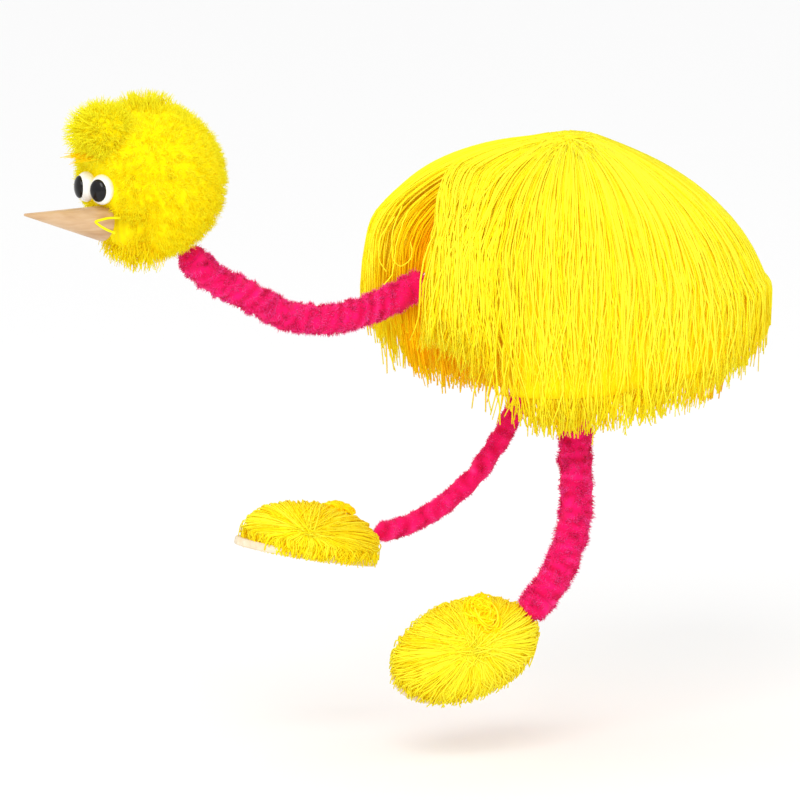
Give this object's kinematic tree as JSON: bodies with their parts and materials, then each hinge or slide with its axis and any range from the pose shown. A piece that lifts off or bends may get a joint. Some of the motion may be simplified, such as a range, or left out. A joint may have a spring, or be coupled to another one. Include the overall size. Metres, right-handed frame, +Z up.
{
  "type": "string marionette bird",
  "caption": "Long-necked bird marionette with a yarn mop body, pompom head and feet, plush neck and legs and a wooden beak; hangs from strings, and neck, head, legs and feet move.",
  "frame": {"origin": "middle of the back button's top, where the puppet hangs", "axes": "+Z up, the bird faces -X, its left side is -Y; feet and neck are in the walking pose of the picture"},
  "size_m": [0.4111, 0.166, 0.3133],
  "materials": {
    "yellow_yarn": "matte",
    "pink_plush": "matte",
    "white_cord": "matte",
    "foam": "matte",
    "yellow_button": "satin",
    "beak_wood": "satin",
    "pale_wood": "satin",
    "eye_white": "gloss",
    "eye_black": "gloss",
    "wire": "satin"
  },
  "bodies": {
    "body": {"body_core": "foam", "body_yarn_mop": "yellow_yarn", "back_button": "yellow_button", "hanger_cord": "white_cord", "belly_washer": "pale_wood", "hanger_knot": "white_cord", "neck_eyelet": "wire", "left_hip_eyelet": "wire", "right_hip_eyelet": "wire"},
    "neck_root": {"neck_root_knot": "white_cord"},
    "neck_1": {"neck_1_plush": "pink_plush", "neck_1_cord": "white_cord"},
    "neck_2": {"neck_2_plush": "pink_plush", "neck_2_cord": "white_cord"},
    "neck_3": {"neck_3_plush": "pink_plush", "neck_3_cord": "white_cord"},
    "neck_4": {"neck_4_plush": "pink_plush", "neck_4_cord": "white_cord"},
    "neck_5": {"neck_5_plush": "pink_plush", "neck_5_cord": "white_cord"},
    "neck_6": {"neck_6_plush": "pink_plush", "neck_6_cord": "white_cord"},
    "head_swivel": {"head_knot": "white_cord"},
    "head": {"head_core": "pale_wood", "head_pompom": "yellow_yarn", "head_eyelet": "wire", "beak": "beak_wood", "left_eye_white": "eye_white", "right_eye_white": "eye_white", "left_pupil": "eye_black", "right_pupil": "eye_black", "head_string_button": "yellow_button"},
    "left_hip": {"left_leg_root_knot": "white_cord"},
    "left_leg_1": {"left_leg_1_plush": "pink_plush", "left_leg_1_cord": "white_cord"},
    "left_leg_2": {"left_leg_2_plush": "pink_plush", "left_leg_2_cord": "white_cord"},
    "left_leg_3": {"left_leg_3_plush": "pink_plush", "left_leg_3_cord": "white_cord"},
    "left_leg_4": {"left_leg_4_plush": "pink_plush", "left_leg_4_cord": "white_cord"},
    "left_ankle": {"left_ankle_knot": "white_cord"},
    "left_foot": {"left_sole": "pale_wood", "left_foot_pompom": "yellow_yarn", "left_heel_eyelet": "wire", "left_foot_button": "yellow_button"},
    "right_hip": {"right_leg_root_knot": "white_cord"},
    "right_leg_1": {"right_leg_1_plush": "pink_plush", "right_leg_1_cord": "white_cord"},
    "right_leg_2": {"right_leg_2_plush": "pink_plush", "right_leg_2_cord": "white_cord"},
    "right_leg_3": {"right_leg_3_plush": "pink_plush", "right_leg_3_cord": "white_cord"},
    "right_leg_4": {"right_leg_4_plush": "pink_plush", "right_leg_4_cord": "white_cord"},
    "right_ankle": {"right_ankle_knot": "white_cord"},
    "right_foot": {"right_sole": "pale_wood", "right_foot_pompom": "yellow_yarn", "right_heel_eyelet": "wire", "right_foot_button": "yellow_button"}
  },
  "joints": [
    {"name": "neck_swing", "type": "hinge", "parent": "body", "child": "neck_root", "pos_m": [-0.0775, 0, -0.0683], "axis": [0, 0, 1], "range_deg": [-20, 20], "stiffness_Nm_per_rad": 0.15},
    {"name": "neck_lift", "type": "hinge", "parent": "neck_root", "child": "neck_1", "pos_m": [-0.0775, 0, -0.0683], "axis": [0, 1, 0], "range_deg": [-40, 30], "stiffness_Nm_per_rad": 0.15, "springref_deg": 9.61},
    {"name": "neck_lower_curl", "type": "hinge", "parent": "neck_1", "child": "neck_2", "pos_m": [-0.10162, 0, -0.07854], "axis": [0, 1, 0], "range_deg": [-18, 18], "stiffness_Nm_per_rad": 0.15, "springref_deg": 8.1},
    {"name": "neck_lower_curl_2", "type": "hinge", "parent": "neck_2", "child": "neck_3", "pos_m": [-0.12715, 0, -0.08443], "axis": [0, 1, 0], "range_deg": [-18, 18], "stiffness_Nm_per_rad": 0.15, "springref_deg": 6.5},
    {"name": "neck_upper_curl", "type": "hinge", "parent": "neck_3", "child": "neck_4", "pos_m": [-0.15323, 0, -0.08192], "axis": [0, 1, 0], "range_deg": [-18, 12], "stiffness_Nm_per_rad": 0.15, "springref_deg": 4.9},
    {"name": "neck_upper_curl_2", "type": "hinge", "parent": "neck_4", "child": "neck_5", "pos_m": [-0.17647, 0, -0.06982], "axis": [0, 1, 0], "range_deg": [-18, 12], "stiffness_Nm_per_rad": 0.15, "springref_deg": 3.48},
    {"name": "neck_upper_curl_3", "type": "hinge", "parent": "neck_5", "child": "neck_6", "pos_m": [-0.19927, 0, -0.05692], "axis": [0, 1, 0], "range_deg": [-18, 12], "stiffness_Nm_per_rad": 0.15, "springref_deg": 2.11},
    {"name": "head_turn", "type": "hinge", "parent": "neck_6", "child": "head_swivel", "pos_m": [-0.2173, 0, -0.03792], "axis": [-0.6884, 0, 0.7254], "range_deg": [-40, 40], "stiffness_Nm_per_rad": 0.04, "springref_deg": 0.07},
    {"name": "head_nod", "type": "hinge", "parent": "head_swivel", "child": "head", "pos_m": [-0.2173, 0, -0.03792], "axis": [0, 1, 0], "range_deg": [-35, 25], "stiffness_Nm_per_rad": 0.04, "springref_deg": 3.91},
    {"name": "left_hip_swing", "type": "hinge", "parent": "body", "child": "left_hip", "pos_m": [-0.01, -0.028, -0.1273], "axis": [0, 1, 0], "range_deg": [-30, 35], "stiffness_Nm_per_rad": 0.05, "springref_deg": 2.78},
    {"name": "left_hip_splay", "type": "hinge", "parent": "left_hip", "child": "left_leg_1", "pos_m": [-0.01, -0.028, -0.1273], "axis": [1, 0, 0], "range_deg": [-15, 15], "stiffness_Nm_per_rad": 0.05, "springref_deg": 0.09},
    {"name": "left_leg_curl", "type": "hinge", "parent": "left_leg_1", "child": "left_leg_2", "pos_m": [-0.01, -0.028, -0.1579], "axis": [0, 1, 0], "range_deg": [-12, 20], "stiffness_Nm_per_rad": 0.05, "springref_deg": 2.78},
    {"name": "left_leg_curl_2", "type": "hinge", "parent": "left_leg_2", "child": "left_leg_3", "pos_m": [-0.01, -0.028, -0.1885], "axis": [0, 1, 0], "range_deg": [-12, 20], "stiffness_Nm_per_rad": 0.05, "springref_deg": 2.78},
    {"name": "left_leg_curl_3", "type": "hinge", "parent": "left_leg_3", "child": "left_leg_4", "pos_m": [-0.01996, -0.028, -0.21743], "axis": [0, 1, 0], "range_deg": [-12, 20], "stiffness_Nm_per_rad": 0.05, "springref_deg": 2.3},
    {"name": "left_ankle_tip", "type": "hinge", "parent": "left_leg_4", "child": "left_ankle", "pos_m": [-0.04004, -0.028, -0.24053], "axis": [0, -1, 0], "range_deg": [-55, 28], "stiffness_Nm_per_rad": 0.02, "springref_deg": -3.5},
    {"name": "left_foot_roll", "type": "hinge", "parent": "left_ankle", "child": "left_foot", "pos_m": [-0.04004, -0.028, -0.24053], "axis": [0.9563, 0, 0.2924], "range_deg": [-48, 12], "stiffness_Nm_per_rad": 0.02, "springref_deg": 0.2},
    {"name": "right_hip_swing", "type": "hinge", "parent": "body", "child": "right_hip", "pos_m": [-0.01, 0.028, -0.1273], "axis": [0, 1, 0], "range_deg": [-45, 20], "stiffness_Nm_per_rad": 0.05, "springref_deg": 5.76},
    {"name": "right_hip_splay", "type": "hinge", "parent": "right_hip", "child": "right_leg_1", "pos_m": [-0.01, 0.028, -0.1273], "axis": [1, 0, 0], "range_deg": [-15, 15], "stiffness_Nm_per_rad": 0.05},
    {"name": "right_leg_curl", "type": "hinge", "parent": "right_leg_1", "child": "right_leg_2", "pos_m": [-0.02341, 0.028, -0.1548], "axis": [0, 1, 0], "range_deg": [-15, 12], "stiffness_Nm_per_rad": 0.05, "springref_deg": 5.05},
    {"name": "right_leg_curl_2", "type": "hinge", "parent": "right_leg_2", "child": "right_leg_3", "pos_m": [-0.04267, 0.028, -0.17858], "axis": [0, 1, 0], "range_deg": [-15, 12], "stiffness_Nm_per_rad": 0.05, "springref_deg": 4.08},
    {"name": "right_leg_curl_3", "type": "hinge", "parent": "right_leg_3", "child": "right_leg_4", "pos_m": [-0.06862, 0.028, -0.1948], "axis": [0, 1, 0], "range_deg": [-15, 12], "stiffness_Nm_per_rad": 0.05, "springref_deg": 2.83},
    {"name": "right_ankle_tip", "type": "hinge", "parent": "right_leg_4", "child": "right_ankle", "pos_m": [-0.09831, 0.028, -0.2022], "axis": [0, -1, 0], "range_deg": [-60, 22], "stiffness_Nm_per_rad": 0.02, "springref_deg": -3.7},
    {"name": "right_foot_roll", "type": "hinge", "parent": "right_ankle", "child": "right_foot", "pos_m": [-0.09831, 0.028, -0.2022], "axis": [0.9781, 0, -0.2079], "range_deg": [-25, 25], "stiffness_Nm_per_rad": 0.02}
  ],
  "couplings": [
    {"joint": "neck_lower_curl_2", "follows": "neck_lower_curl", "ratio": 1},
    {"joint": "neck_upper_curl_2", "follows": "neck_upper_curl", "ratio": 1},
    {"joint": "neck_upper_curl_3", "follows": "neck_upper_curl", "ratio": 1},
    {"joint": "left_leg_curl_2", "follows": "left_leg_curl", "ratio": 1},
    {"joint": "left_leg_curl_3", "follows": "left_leg_curl", "ratio": 1},
    {"joint": "right_leg_curl_2", "follows": "right_leg_curl", "ratio": 1},
    {"joint": "right_leg_curl_3", "follows": "right_leg_curl", "ratio": 1}
  ]
}
